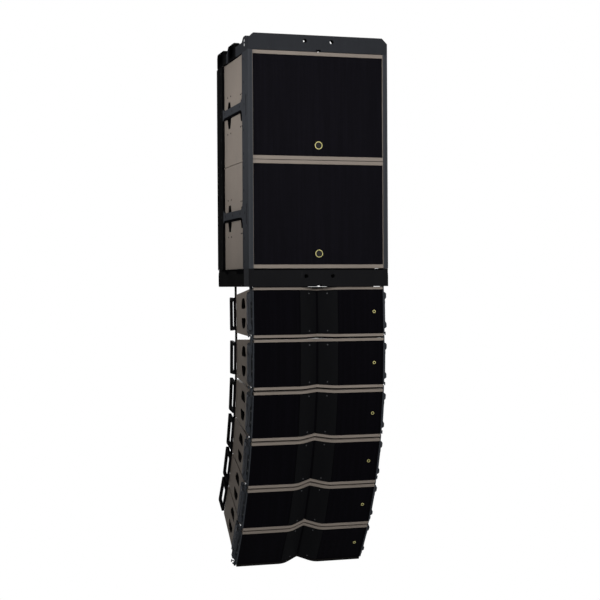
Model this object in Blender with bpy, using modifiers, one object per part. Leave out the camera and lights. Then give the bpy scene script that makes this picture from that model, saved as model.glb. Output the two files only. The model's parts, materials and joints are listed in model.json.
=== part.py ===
"""Line array column, flown: rigging frame, two subwoofers, transition frame and six line modules.

Frame: metres, +Z up, the front faces -Y. The origin is on the top face of the pick-up bar, at the
point that the hoist hooks into. Each level hangs from the one above: a module turns about the pins
at its top front corners, and a pair of straps behind it holds the chosen splay angle.
"""
from math import atan2, cos, pi, radians, sin, tan

import bmesh
import bpy
from mathutils import Matrix, Vector

# ---------------------------------------------------------------- driving dimensions, in metres
GAP = 0.0003                  # between pieces that touch
COLUMN_WIDTH = 0.730          # over the side rigging
PICKUP_SETBACK = 0.335        # from the subwoofers' front plane back to the pick-up point

FRAME_HEIGHT = 0.082          # top frame
FRAME_DEPTH = 0.690           # both frames, front to back
BEAM_DEPTH = 0.040            # the frames' front and rear beams
SIDE_PLATE = 0.027            # the frames' side beams, across
SIDE_BEAM_DROP = 0.030        # side beam's top edge below the front beam's
FRAME_CHAMFER = 0.028
HOIST_HOLE_RADIUS = 0.011
BAR_WIDTH = 0.040             # pick-up bar
BAR_HEIGHT = 0.068
BAR_HOLES = 7
LOWER_FRAME_DROP = 0.091      # from the lower subwoofer's underside to the first splay pin
LOWER_BEAM_CLEARANCE = 0.008  # between the lower subwoofer and the transition frame's beam
LOWER_LUG_RISE = 0.016        # its lugs above its side beams

SUB_HEIGHT = 0.543
SUB_RAIL_DEPTH = 0.700        # over the side rails, front to back
SUB_CABINET_DEPTH = 0.607
SUB_FRONT_SETBACK = 0.004     # the cabinet's edge behind the rail's front face
SUB_BAND = 0.018              # top and bottom panels
SUB_WALL = 0.015
RAIL_INSET = 0.010            # how far the side rails stand out from the cabinet
RAIL_FACE = 0.023             # the rail's front face, across
RAIL_FLANGE = 0.012
FRONT_RAIL_DEPTH = 0.130
REAR_RAIL_DEPTH = 0.130
CROSSBAR_HEIGHT = 0.038
CROSSBAR_DROP = 0.262         # crossbar's middle below the cabinet's top
CROSSBAR_FLARE = 0.036
WOOFER_RADIUS = 0.228
CONE_RADIUS = 0.198
BAFFLE_FRONT = 0.040          # the baffle's face behind the rail's front
BAFFLE_THICKNESS = 0.018

MODULE_PITCH = 0.259          # from pin to pin, down the front
MODULE_GAP = 0.0114           # between closed modules
MODULE_DEPTH = 0.374
MODULE_HALF_ANGLE = radians(4.11)
MODULE_HALF_WIDTH = 0.340
MODULE_BAND = 0.013
MODULE_WALL = 0.012
PIVOT_SETBACK = 0.030         # from the module's front plane back to the pin
MODULE_FRONT_SETBACK = 0.0126 # from the subwoofers' front plane back to the module's
VEE_DEPTH = 0.044             # middle crease behind the front plane
VEE_HALF_WIDTH = 0.082
VEE_SHOULDER = 0.110
SPLAY = [radians(a) for a in (-1.86, 4.27, 8.22, 8.22, 8.22, 8.22)]

PIN_RADIUS = 0.005
PIN_CLEARANCE = 0.0003
LUG_RADIUS = 0.014
TAB_RADIUS = 0.013
RIG_PLATE = 0.006             # thickness of the module's side plate
RIG_DEPTH = 0.125             # side plate, front to back
TAB_THICKNESS = 0.005

BRACKET_REACH = 0.094         # rear bracket, out from the cabinet's back
BRACKET_HEIGHT = 0.176
BRACKET_ARM = 0.022
BRACKET_BAR = 0.020
BRACKET_THICKNESS = 0.013
BRACKET_TIE = 0.040
LINK_SETBACK = 0.395          # rear straps' line behind the splay pins
LINK_THICKNESS = 0.006
LINK_WIDTH = 0.026
LINK_OFFSET = 0.0073          # between the strap and the bracket beside it
LINK_ROD_RADIUS = 0.008
ROD_END = 0.016               # the rod's end beyond the strap
PEG_RADIUS = 0.005
PEG_CLEARANCE = 0.0006

# ---------------------------------------------------------------- derived values
HALF = COLUMN_WIDTH / 2
SUB_HALF = HALF - RAIL_INSET
RAIL_INSIDE = HALF - RAIL_FACE
CLOSED_SPLAY = 2 * MODULE_HALF_ANGLE
FRONT = -PIVOT_SETBACK
REAR = MODULE_DEPTH - PIVOT_SETBACK
LINK_ARM = MODULE_PITCH / 2 - BRACKET_HEIGHT / 2 + BRACKET_ARM / 2
LINK_INSIDE = MODULE_HALF_WIDTH + GAP - LINK_OFFSET - LINK_THICKNESS
ROD_TIP = LINK_INSIDE + LINK_THICKNESS + ROD_END
ROD_BORE = (LINK_ROD_RADIUS + PIN_CLEARANCE) / cos(pi / 8)
PLATE_IN = MODULE_HALF_WIDTH + GAP
PLATE_OUT = PLATE_IN + RIG_PLATE
TAB_IN = PLATE_OUT + GAP
TAB_OUT = TAB_IN + TAB_THICKNESS
PIVOT_Y = MODULE_FRONT_SETBACK + PIVOT_SETBACK

SUB_POCKETS = [(0.150, 0.215, -0.335, -0.225), (0.400, 0.500, -0.345, -0.205)]
PANEL_HALF_WIDTH = 0.110
PANEL_HALF_HEIGHT = 0.055
GRILLE_REBATE = 0.010
POCKET_FRONT = 0.138
POCKET_BACK = 0.237
POCKET_CUP = 0.030
MODULE_POCKETS = [(-0.106, -0.052), (-0.153, -0.207)]  # each slot's wide and narrow edge
DRIVER_X = 0.215
DRIVER_RADIUS = 0.092
LOCK_PIN_HEIGHT = -0.2425

PALETTE = {
    "cabinet": ((0.155, 0.130, 0.110), 0.62, 0.0),
    "rigging": ((0.090, 0.095, 0.105), 0.45, 0.6),
    "frame": ((0.045, 0.048, 0.052), 0.50, 0.5),
    "bracket": ((0.018, 0.018, 0.020), 0.50, 0.4),
    "grille": ((0.012, 0.012, 0.014), 0.60, 0.3),
    "driver": ((0.030, 0.030, 0.032), 0.55, 0.1),
    "cone": ((0.020, 0.020, 0.020), 0.80, 0.0),
    "panel": ((0.025, 0.025, 0.027), 0.45, 0.4),
}


# ---------------------------------------------------------------- scene and materials
def clear_scene():
    for thing in list(bpy.data.objects):
        bpy.data.objects.remove(thing, do_unlink=True)


def new_collection(name):
    group = bpy.data.collections.new(name)
    bpy.context.scene.collection.children.link(group)
    return group


def new_material(name, colour, roughness, metallic):
    """A plain Principled BSDF finish."""
    finish = bpy.data.materials.new(name)
    finish.use_nodes = True
    shader = finish.node_tree.nodes["Principled BSDF"]
    shader.inputs["Base Color"].default_value = (*colour, 1.0)
    shader.inputs["Roughness"].default_value = roughness
    shader.inputs["Metallic"].default_value = metallic
    return finish


clear_scene()
PARTS = new_collection("line_array_speaker")
CUTTERS = new_collection("cutters")
FINISHES = {name: new_material(name, *values) for name, values in PALETTE.items()}


# ---------------------------------------------------------------- shaping tools
def tool(mesh):
    """A working solid, kept with the cutters until it is placed or used up."""
    solid = bpy.data.objects.new(mesh.name, mesh)
    solid.hide_render = True
    solid.display_type = "WIRE"
    CUTTERS.objects.link(solid)
    return solid


def evaluated_mesh(source):
    bpy.context.view_layer.update()
    graph = bpy.context.evaluated_depsgraph_get()
    return bpy.data.meshes.new_from_object(source.evaluated_get(graph))


def mesh_from(shape):
    mesh = bpy.data.meshes.new("solid")
    shape.to_mesh(mesh)
    shape.free()
    return mesh


def box(x, y, z):
    """A block between two values on each axis."""
    shape = bmesh.new()
    bmesh.ops.create_cube(shape, size=1.0)
    size = [hi - lo for lo, hi in (x, y, z)]
    middle = [(hi + lo) / 2 for lo, hi in (x, y, z)]
    bmesh.ops.scale(shape, vec=size, verts=shape.verts)
    bmesh.ops.translate(shape, vec=middle, verts=shape.verts)
    return tool(mesh_from(shape))


def cylinder(axis, centre, radius, length, sides=8):
    """A round bar along one axis, centred on a point."""
    turn = {"X": Matrix.Rotation(pi / 2, 4, "Y"), "Y": Matrix.Rotation(pi / 2, 4, "X"),
            "Z": Matrix.Identity(4)}[axis]
    shape = bmesh.new()
    bmesh.ops.create_cone(shape, cap_ends=True, segments=sides, radius1=radius, radius2=radius,
                          depth=length, matrix=Matrix.Translation(centre) @ turn)
    return tool(mesh_from(shape))


def turned(profile, centre, sides=32):
    """A solid of revolution about Y. The profile holds (radius, depth) pairs, front to back."""
    mesh = bpy.data.meshes.new("profile")
    points = [(radius, 0.0, -depth) for radius, depth in profile]
    mesh.from_pydata(points, [(i, i + 1) for i in range(len(points) - 1)], [])
    solid = tool(mesh)
    screw = solid.modifiers.new("screw", "SCREW")
    screw.steps = sides
    screw.render_steps = sides
    screw.use_merge_vertices = True
    screw.merge_threshold = 0.0001
    result = evaluated_mesh(solid)
    bpy.data.objects.remove(solid)
    result.transform(Matrix.Translation(centre) @ Matrix.Rotation(pi / 2, 4, "X"))
    return tool(result)


PLANES = {
    "XY": Matrix.Identity(4),
    "YZ": Matrix(((0, 0, 1, 0), (1, 0, 0, 0), (0, 1, 0, 0), (0, 0, 0, 1))),
    "XZ": Matrix(((1, 0, 0, 0), (0, 0, -1, 0), (0, 1, 0, 0), (0, 0, 0, 1))),
}


def plate(plane, outline, reach, holes=()):
    """A flat outline with holes, extruded across its plane between two values."""
    curve = bpy.data.curves.new("outline", "CURVE")
    curve.dimensions = "2D"
    curve.fill_mode = "BOTH"
    curve.extrude = (reach[1] - reach[0]) / 2
    for loop in (outline, *holes):
        spline = curve.splines.new("POLY")
        spline.points.add(len(loop) - 1)
        for point, (u, v) in zip(spline.points, loop):
            point.co = (u, v, 0.0, 1.0)
        spline.use_cyclic_u = True
    flat = bpy.data.objects.new("outline", curve)
    CUTTERS.objects.link(flat)
    mesh = evaluated_mesh(flat)
    bpy.data.objects.remove(flat)
    middle = (reach[0] + reach[1]) / 2
    side = -1 if plane == "XZ" else 1
    mesh.transform(PLANES[plane] @ Matrix.Translation((0, 0, side * middle)))
    shape = bmesh.new()
    shape.from_mesh(mesh)
    bmesh.ops.remove_doubles(shape, verts=shape.verts, dist=1e-6)
    bmesh.ops.recalc_face_normals(shape, faces=shape.faces)
    shape.to_mesh(mesh)
    shape.free()
    return tool(mesh)


def combine(target, other, operation):
    """Join to, or cut from, a working solid; the other solid is used up."""
    modifier = target.modifiers.new("combine", "BOOLEAN")
    modifier.operation = operation
    modifier.object = other
    mesh = evaluated_mesh(target)
    target.modifiers.clear()
    target.data = mesh
    bpy.data.objects.remove(other)
    return target


def join(target, *others):
    for other in others:
        combine(target, other, "UNION")
    return target


def cut(target, *others):
    for other in others:
        combine(target, other, "DIFFERENCE")
    return target


def arc(u, v, radius, start, end, steps):
    """Points of an arc about (u, v), both ends included."""
    return [(u + radius * cos(start + (end - start) * i / steps),
             v + radius * sin(start + (end - start) * i / steps)) for i in range(steps + 1)]


def circle(u, v, radius, sides=8):
    return arc(u, v, radius, 0.0, 2 * pi, sides)[:-1]


def slot(u, v, half_length, radius, steps=4):
    """An upright slot with round ends."""
    return (arc(u, v + half_length, radius, 0.0, pi, steps)
            + arc(u, v - half_length, radius, pi, 2 * pi, steps))


def rounded(corners, steps=2):
    """An outline from (u, v, radius) corners, each turned into an arc."""
    points = []
    for i, (u, v, radius) in enumerate(corners):
        if radius <= 0:
            points.append((u, v))
            continue
        here = Vector((u, v))
        back = (Vector(corners[i - 1][:2]) - here).normalized()
        on = (Vector(corners[(i + 1) % len(corners)][:2]) - here).normalized()
        half = back.angle(on) / 2
        centre = here + (back + on).normalized() * (radius / sin(half))
        first = here + back * (radius / tan(half)) - centre
        last = here + on * (radius / tan(half)) - centre
        start = atan2(first.y, first.x)
        sweep = (atan2(last.y, last.x) - start + pi) % (2 * pi) - pi
        points += arc(centre.x, centre.y, radius, start, start + sweep, steps)
    return points


def mirrored(mesh):
    """The same mesh on the other side of the middle plane."""
    other = mesh.copy()
    other.transform(Matrix.Scale(-1, 4, (1, 0, 0)))
    other.flip_normals()
    return other


def taken(solid):
    """The finished mesh of a working solid, which is then removed."""
    mesh = solid.data
    mesh.shade_smooth()
    mesh.set_sharp_from_angle(angle=radians(32))
    bpy.data.objects.remove(solid)
    return mesh


def place(name, mesh, finish, parent):
    """Put a finished mesh into the model as one named sub-part."""
    piece = bpy.data.objects.new(name, mesh)
    if not mesh.materials:
        mesh.materials.append(FINISHES[finish])
    piece.parent = parent
    PARTS.objects.link(piece)
    return piece


def datum(name, place_at, tilt=0.0, parent=None):
    """An empty that carries the pieces of one level."""
    empty = bpy.data.objects.new(name, None)
    empty.location = place_at
    empty.rotation_euler.x = tilt
    empty.parent = parent
    PARTS.objects.link(empty)
    return empty


# ---------------------------------------------------------------- frames
def side_beam(low, side_top, crest):
    """One side beam's outline; three lugs rise from its top edge to the crest."""
    return rounded([
        (0.0, low, 0.0), (FRAME_DEPTH, low, 0.012),
        (FRAME_DEPTH, crest, 0.020), (0.530, crest, 0.026), (0.500, side_top, 0.012),
        (0.455, side_top, 0.012), (0.430, crest, 0.026), (0.285, crest, 0.026),
        (0.262, side_top, 0.012), (0.130, side_top, 0.012), (0.100, crest - 0.006, 0.020),
        (0.052, crest - 0.006, 0.020), (0.0, side_top, 0.0)])


def front_beam(low, high):
    """A cross beam with chamfered ends, two round sight holes and a bottom notch."""
    outline = [(-HALF, low), (-0.012, low), (-0.012, low + 0.010), (0.012, low + 0.010),
               (0.012, low), (HALF, low), (HALF, high - FRAME_CHAMFER),
               (HALF - FRAME_CHAMFER, high), (-HALF + FRAME_CHAMFER, high),
               (-HALF, high - FRAME_CHAMFER)]
    holes = [circle(x, high - 0.030, HOIST_HOLE_RADIUS) for x in (-0.070, 0.070)]
    return plate("XZ", outline, (0.0, BEAM_DEPTH), holes)


def ladder(low, high, side_top, crest):
    """Front beam, rear beam and two side beams in one welded frame."""
    frame = front_beam(low, high)
    rear_top = (side_top + crest) / 2
    join(frame, box((-HALF + 0.001, HALF - 0.001), (FRAME_DEPTH - BEAM_DEPTH, FRAME_DEPTH - 0.004),
                    (low + 0.004, rear_top)))
    for side in (-1, 1):
        reach = sorted((side * (HALF - 0.0005), side * (HALF - SIDE_PLATE)))
        lugs = [circle(0.076, crest - 0.028, 0.005), circle(0.076, crest - 0.047, 0.005)]
        join(frame, plate("YZ", side_beam(low + 0.0002, side_top, crest), reach, lugs))
    return frame


def top_frame():
    return taken(ladder(-FRAME_HEIGHT + GAP, 0.0, -SIDE_BEAM_DROP, -0.001))


def pickup_bar():
    """The bar that the hoist hooks into, between the front and rear beams."""
    ends = (BEAM_DEPTH + GAP, FRAME_DEPTH - BEAM_DEPTH - GAP)
    outline = rounded([(ends[0], -BAR_HEIGHT, 0.0), (ends[1], -BAR_HEIGHT, 0.0),
                       (ends[1], -0.018, 0.0), (ends[1] - 0.050, 0.0, 0.020),
                       (ends[0] + 0.050, 0.0, 0.020), (ends[0], -0.018, 0.0)])
    spacing = (ends[1] - ends[0] - 0.160) / (BAR_HOLES - 1)
    holes = [circle(ends[0] + 0.080 + spacing * i, -0.034, HOIST_HOLE_RADIUS)
             for i in range(BAR_HOLES)]
    return taken(plate("YZ", outline, (-BAR_WIDTH / 2, BAR_WIDTH / 2), holes))


def pivot_lug(side):
    """The lug and pin that the next module's tab hangs on, about the pin's axis."""
    outline = arc(0, 0, LUG_RADIUS, pi, 2 * pi, 5) + [(LUG_RADIUS, 0.030), (-LUG_RADIUS, 0.030)]
    lug = plate("YZ", outline, sorted((side * PLATE_IN, side * PLATE_OUT)))
    length = TAB_OUT + 0.0025 - PLATE_IN - 0.001
    pin = cylinder("X", (side * (PLATE_IN + 0.001 + length / 2), 0, 0), PIN_RADIUS, length)
    return join(lug, pin)


def moved(solid, shift):
    solid.data.transform(Matrix.Translation(shift))
    return solid


def lower_frame():
    """Transition frame: its datum is level with the lower subwoofer's underside."""
    low = -LOWER_FRAME_DROP
    crest = -LOWER_BEAM_CLEARANCE - 0.001
    frame = ladder(low, -LOWER_BEAM_CLEARANCE, crest - LOWER_LUG_RISE, crest)
    for side in (-1, 1):
        outer = sorted((side * (HALF - 0.0005), side * (HALF - SIDE_PLATE + 0.002)))
        for start, end in ((0.002, 0.120), (FRAME_DEPTH - 0.085, FRAME_DEPTH - 0.010)):
            join(frame, box(outer, (start, end), (low + 0.020, -GAP)))
        slot_x = sorted((side * PLATE_OUT, side * (TAB_OUT + 0.004)))
        cut(frame, box(slot_x, (PIVOT_Y - LUG_RADIUS - 0.006, PIVOT_Y + LUG_RADIUS + 0.006),
                       (low - 0.010, low + TAB_RADIUS + 0.006)))
        join(frame, moved(pivot_lug(side), (0, PIVOT_Y, low)))
        mouth, end = HALF - SIDE_PLATE - 0.002, ROD_TIP + 0.002
        bore = (side * (mouth + end) / 2, PIVOT_Y + LINK_SETBACK, low + LINK_ARM)
        cut(frame, cylinder("X", bore, ROD_BORE, end - mouth))
    return taken(frame)


# ---------------------------------------------------------------- subwoofer
def sub_cabinet():
    """A plywood case, open behind its grille, with a baffle, two ports and four hand pockets."""
    top, bottom = -0.0015, -SUB_HEIGHT + 0.0015
    case = box((-SUB_HALF, SUB_HALF), (SUB_FRONT_SETBACK, SUB_CABINET_DEPTH), (bottom, top))
    for side in (-1, 1):
        corner = sorted((side * (RAIL_INSIDE - GAP), side * HALF))
        cut(case, box(corner, (-0.010, RAIL_FLANGE + GAP), (bottom - 0.01, top + 0.01)))
    inside = SUB_HALF - SUB_WALL
    cut(case, box((-inside, inside), (-0.010, SUB_CABINET_DEPTH - SUB_WALL),
                  (bottom + SUB_BAND, top - SUB_BAND)))
    middle = -SUB_HEIGHT / 2
    ports = [rounded([(x - 0.018, middle - 0.19, 0.015), (x + 0.018, middle - 0.19, 0.015),
                      (x + 0.018, middle + 0.19, 0.015), (x - 0.018, middle + 0.19, 0.015)])
             for x in (-0.285, 0.285)]
    face = [(-inside - 0.004, bottom + 0.004), (inside + 0.004, bottom + 0.004),
            (inside + 0.004, top - 0.004), (-inside - 0.004, top - 0.004)]
    join(case, plate("XZ", face, (BAFFLE_FRONT, BAFFLE_FRONT + BAFFLE_THICKNESS),
                     [circle(0, middle, WOOFER_RADIUS - 0.014, 24), *ports]))
    for side in (-1, 1):
        for front, back, low, high in SUB_POCKETS:
            cup = box(sorted((side * (inside - 0.045), side * (inside + 0.002))),
                      (front - 0.014, back + 0.014), (low - 0.014, high + 0.014))
            join(case, cup)
            reach = sorted((side * (inside - 0.034), side * (SUB_HALF + 0.002)))
            cut(case, plate("YZ", pocket_outline(front, back, low, high), reach))
    cut(case, box((-PANEL_HALF_WIDTH, PANEL_HALF_WIDTH), (SUB_CABINET_DEPTH - 0.02,
                  SUB_CABINET_DEPTH + 0.01), (middle - PANEL_HALF_HEIGHT, middle + PANEL_HALF_HEIGHT)))
    return taken(case)


def pocket_outline(front, back, low, high):
    """An upright lens with blunt ends."""
    middle = (front + back) / 2
    waist = (low + high) / 2
    tip = (back - front) * 0.22
    return rounded([(middle - tip, low, 0.006), (middle + tip, low, 0.006), (back, waist, 0.030),
                    (middle + tip, high, 0.006), (middle - tip, high, 0.006),
                    (front, waist, 0.030)])


def sub_grille():
    half = SUB_HALF - SUB_WALL - GAP
    return taken(box((-half, half), (SUB_FRONT_SETBACK + 0.003, SUB_FRONT_SETBACK + 0.012),
                     (-SUB_HEIGHT + 0.0015 + SUB_BAND + GAP, -0.0015 - SUB_BAND - GAP)))


def sub_rig():
    """The right-hand side rail set: front rail, rear rail and the crossbar that ties them."""
    top, bottom = -GAP / 2, -SUB_HEIGHT + GAP / 2
    front, back = FRONT_RAIL_DEPTH, SUB_RAIL_DEPTH - REAR_RAIL_DEPTH
    high = -CROSSBAR_DROP + CROSSBAR_HEIGHT / 2
    low = high - CROSSBAR_HEIGHT
    flare = CROSSBAR_FLARE
    outline = rounded([
        (0, bottom, 0), (front, bottom, 0.010), (front, low, flare), (back, low, flare),
        (back, bottom, 0.010), (SUB_RAIL_DEPTH, bottom, 0), (SUB_RAIL_DEPTH, top, 0),
        (back, top, 0.010), (back, high, flare), (front, high, flare), (front, top, 0.010),
        (0, top, 0)])
    holes = [slot(0.050, -SUB_HEIGHT / 2, 0.048, 0.007)]
    rail = plate("YZ", outline, (SUB_HALF + GAP, HALF), holes)
    join(rail, box((RAIL_INSIDE, HALF - 0.002), (0.0, RAIL_FLANGE), (bottom, top)))
    join(rail, box((HALF - 0.060, HALF - 0.002), (SUB_RAIL_DEPTH - 0.010, SUB_RAIL_DEPTH),
                   (bottom, top)))
    cut(rail, box((RAIL_INSIDE + 0.008, RAIL_INSIDE + 0.013), (-0.002, 0.003),
                  (bottom - 0.01, top + 0.01)))
    return taken(rail)


def sub_woofer():
    """Basket and magnet, turned about the driver's axis, with its rim on the baffle."""
    rim = WOOFER_RADIUS
    seat, ledge = BAFFLE_FRONT - GAP, BAFFLE_FRONT - 0.007
    well = CONE_RADIUS + PIN_CLEARANCE
    return taken(turned([(0, 0.150), (0.040, 0.150), (0.130, 0.105), (well, ledge + 0.022),
                         (well, ledge), (rim, ledge), (rim, seat), (well + 0.0115, seat),
                         (well + 0.0115, ledge + 0.027), (0.140, 0.122), (0.080, 0.165),
                         (0.080, 0.190), (0, 0.190)], (0, 0, -SUB_HEIGHT / 2), 18))


def sub_cone():
    """The cone and its dust cap; it moves along the driver's axis."""
    edge = BAFFLE_FRONT - 0.005
    return taken(turned([(0, edge + 0.035), (0.045, edge + 0.042), (0.060, edge + 0.062),
                         (CONE_RADIUS, edge), (CONE_RADIUS, edge + 0.004),
                         (0.060, edge + 0.080), (0, edge + 0.080)],
                        (0, 0, -SUB_HEIGHT / 2), 18))


def connector_plate():
    half_width, half_height = PANEL_HALF_WIDTH - GAP, PANEL_HALF_HEIGHT - GAP
    middle = -SUB_HEIGHT / 2
    outline = [(-half_width, middle - half_height), (half_width, middle - half_height),
               (half_width, middle + half_height), (-half_width, middle + half_height)]
    face = plate("XZ", outline, (SUB_CABINET_DEPTH - SUB_WALL, SUB_CABINET_DEPTH - 0.002))
    for x in (-0.045, 0.045):
        join(face, cylinder("Y", (x, SUB_CABINET_DEPTH - 0.003, middle), 0.015, 0.010))
    return taken(face)


# ---------------------------------------------------------------- line module
def face_height(depth, sign):
    """Height of the module's top (sign 1) or bottom (sign -1) face at a depth behind the pin."""
    drop = MODULE_GAP / 2 / cos(MODULE_HALF_ANGLE) + depth * tan(MODULE_HALF_ANGLE)
    return -drop if sign > 0 else -MODULE_PITCH + drop


def wedge(front, rear, inset):
    """Side outline of the module between two depths, inset from its top and bottom faces."""
    return [(front, face_height(front, -1) + inset), (rear, face_height(rear, -1) + inset),
            (rear, face_height(rear, 1) - inset), (front, face_height(front, 1) - inset)]


def vee_path(half, offset):
    """Corners of the module's front in plan, from left to right."""
    plane = FRONT + offset
    return [(-half, plane, 0), (-VEE_HALF_WIDTH, plane, VEE_SHOULDER),
            (0, plane + VEE_DEPTH, 0.012), (VEE_HALF_WIDTH, plane, VEE_SHOULDER), (half, plane, 0)]


def vee_board(half, offset, thickness, low, high, steps):
    """An upright board that follows the front in plan."""
    outline = rounded(vee_path(half, offset) + vee_path(half, offset + thickness)[::-1], steps)
    return plate("XY", outline, (low, high))


def module_cabinet():
    half = MODULE_HALF_WIDTH
    plan = rounded(vee_path(half, 0) + [(half, REAR, 0), (-half, REAR, 0)], 4)
    case = plate("XY", plan, (-MODULE_PITCH, 0))
    combine(case, plate("YZ", wedge(FRONT - 0.02, REAR + 0.02, 0), (-half - 0.02, half + 0.02)),
            "INTERSECT")
    inside = half - MODULE_WALL
    cut(case, plate("YZ", wedge(FRONT - 0.03, REAR - MODULE_WALL, MODULE_BAND), (-inside, inside)))
    cut(case, plate("YZ", wedge(FRONT - 0.03, FRONT + GRILLE_REBATE, MODULE_BAND),
                    (-half - 0.01, half + 0.01)))
    deep = inside - POCKET_CUP
    low, high = min(MODULE_POCKETS[1]), max(MODULE_POCKETS[0])
    for side in (-1, 1):
        join(case, box(sorted((side * (deep - 0.008), side * (inside + 0.002))),
                       (POCKET_FRONT - 0.008, POCKET_BACK + 0.008), (low - 0.008, high + 0.008)))
        cut(case, box(sorted((side * deep, side * (inside - 0.0005))),
                      (POCKET_FRONT, POCKET_BACK), (low, high)))
        for wide, narrow in MODULE_POCKETS:
            grip = rounded([(POCKET_FRONT + 0.001, wide, 0.008), (POCKET_BACK - 0.001, wide, 0.008),
                            (POCKET_BACK - 0.022, narrow, 0.016),
                            (POCKET_FRONT + 0.022, narrow, 0.016)], 1)
            cut(case, plate("YZ", grip, sorted((side * (inside - 0.004), side * (half + 0.002)))))
    middle = -MODULE_PITCH / 2
    cut(case, box((-0.090, 0.090), (REAR - 0.004, REAR + 0.01), (middle + 0.030, middle + 0.075)))
    return taken(case)


def module_grille():
    low = face_height(FRONT, -1) + MODULE_BAND + 0.001
    high = face_height(FRONT, 1) - MODULE_BAND - 0.001
    trim = (VEE_DEPTH + 0.010) * tan(MODULE_HALF_ANGLE)
    return taken(vee_board(MODULE_HALF_WIDTH - GAP, 0.003, 0.005, low + trim, high - trim, 4))


def driver_set():
    """Baffle with two cone drivers and the waveguide between them, as one sealed-in unit."""
    low = face_height(FRONT, -1) + MODULE_BAND
    high = face_height(FRONT, 1) - MODULE_BAND
    trim = (VEE_DEPTH + 0.030) * tan(MODULE_HALF_ANGLE) + GAP
    half = MODULE_HALF_WIDTH - MODULE_WALL - GAP
    board = vee_board(half, GRILLE_REBATE + 0.004, 0.012, low + trim, high - trim, 1)
    middle = -MODULE_PITCH / 2
    back = FRONT + GRILLE_REBATE + 0.016
    for x in (-DRIVER_X, DRIVER_X):
        cut(board, cylinder("Y", (x, back, middle), DRIVER_RADIUS - 0.004, 0.050, 14))
        join(board, turned([(0, 0.030), (0.028, 0.030), (DRIVER_RADIUS - 0.014, -0.006),
                            (DRIVER_RADIUS, -0.006), (DRIVER_RADIUS, 0.005), (0.055, 0.080),
                            (0, 0.080)], (x, back, middle), 14))
    deep = FRONT + VEE_DEPTH
    horn = box((-0.060, 0.060), (deep + 0.018, deep + 0.130), (middle - 0.080, middle + 0.080))
    motor = cylinder("Y", (0, deep + 0.150, middle), 0.052, 0.060, 10)
    return taken(join(board, horn, motor))


def module_rigging():
    """The right-hand side plate: tab above, lug and pin below, carrying link and lock pin."""
    rear = FRONT + RIG_DEPTH
    low = -MODULE_PITCH
    outline = (rounded([(FRONT, low + 0.018, 0.004), (FRONT, -0.018, 0.006), (rear, -0.026, 0.022),
                        (rear, low + 0.026, 0.022)])
               + [(LUG_RADIUS, low + 0.019)] + arc(0, low, LUG_RADIUS, 0, -pi, 5)
               + [(-LUG_RADIUS, low + 0.018)])
    rig = plate("YZ", outline, (PLATE_IN, PLATE_OUT))
    tab = arc(0, 0, TAB_RADIUS, 0, pi, 5) + [(-TAB_RADIUS, -0.075), (TAB_RADIUS, -0.075)]
    bore = circle(0, 0, (PIN_RADIUS + PIN_CLEARANCE) / cos(pi / 8))
    join(rig, plate("YZ", tab, (TAB_IN, TAB_OUT), [bore]))
    join(rig, box((PLATE_OUT - 0.001, TAB_IN + 0.001), (-TAB_RADIUS + 0.001, TAB_RADIUS - 0.001),
                  (-0.070, -0.022)))
    join(rig, plate("XZ", link_outline(), (-0.010, 0.014)))
    length = TAB_OUT + 0.0025 - PLATE_IN - 0.001
    join(rig, cylinder("X", (PLATE_IN + 0.001 + length / 2, 0, low), PIN_RADIUS, length))
    reach = HALF - 0.004 - PLATE_IN - 0.001
    lock = (PLATE_IN + 0.001 + reach / 2, 0.004, LOCK_PIN_HEIGHT)
    join(rig, cylinder("X", lock, 0.0028, reach, 8))
    join(rig, cylinder("Z", (HALF - 0.004, 0.004, LOCK_PIN_HEIGHT), 0.003, 0.017, 8))
    return taken(rig)


def link_outline():
    """Front view of the carrying link: two bulges with a slim bar between."""
    root = PLATE_OUT - 0.001
    bar_in, bar_out, tip = HALF - 0.013, HALF - 0.007, HALF
    points = [(root, -0.030, 0), (tip, -0.032, 0.007), (tip, -0.060, 0.007),
              (bar_out, -0.068, 0.004), (bar_out + 0.001, -0.082, 0.004), (bar_out, -0.094, 0.004),
              (bar_out, -0.180, 0.004), (tip, -0.192, 0.007), (tip, -0.218, 0.007),
              (root, -0.214, 0), (root, -0.194, 0.002), (bar_in, -0.184, 0.004),
              (bar_in, -0.072, 0.004), (root, -0.062, 0.002)]
    return rounded(points, 1)


def rear_bracket():
    """Two loops behind the cabinet's back corners, tied across it."""
    high = -MODULE_PITCH / 2 + BRACKET_HEIGHT / 2
    low = high - BRACKET_HEIGHT
    near, far = REAR + GAP, REAR + BRACKET_REACH
    tie = -MODULE_PITCH / 2
    across = PLATE_IN + BRACKET_THICKNESS
    bracket = box((-across + 0.0005, across - 0.0005), (near, near + 0.005),
                  (tie - BRACKET_TIE / 2, tie + BRACKET_TIE / 2))
    window = rounded([(near + 0.006, low + BRACKET_ARM, 0.004), (far - BRACKET_BAR, low + BRACKET_ARM, 0.006),
                      (far - BRACKET_BAR, high - BRACKET_ARM, 0.006), (near + 0.006, high - BRACKET_ARM, 0.004)], 1)
    loop = rounded([(near, low + 0.004, 0), (far, low, 0.008), (far, high, 0.008),
                    (near, high - 0.004, 0)])
    for side in (-1, 1):
        reach = sorted((side * PLATE_IN, side * across))
        join(bracket, plate("YZ", loop, reach, [window]))
        peg = (side * (PLATE_IN - LINK_OFFSET / 2 - 0.003), LINK_SETBACK, -LINK_ARM)
        join(bracket, cylinder("X", peg, PEG_RADIUS, LINK_OFFSET + 2 * 0.007))
        bore = (side * (PLATE_IN + BRACKET_THICKNESS / 2), LINK_SETBACK, -MODULE_PITCH + LINK_ARM)
        cut(bracket, cylinder("X", bore, ROD_BORE, BRACKET_THICKNESS + 0.01))
    return taken(bracket)


def peg_distance(splay):
    """From the strap's rod to the peg that it holds, at a splay angle."""
    return 2 * (LINK_ARM * cos(splay / 2) - LINK_SETBACK * sin(splay / 2))


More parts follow.
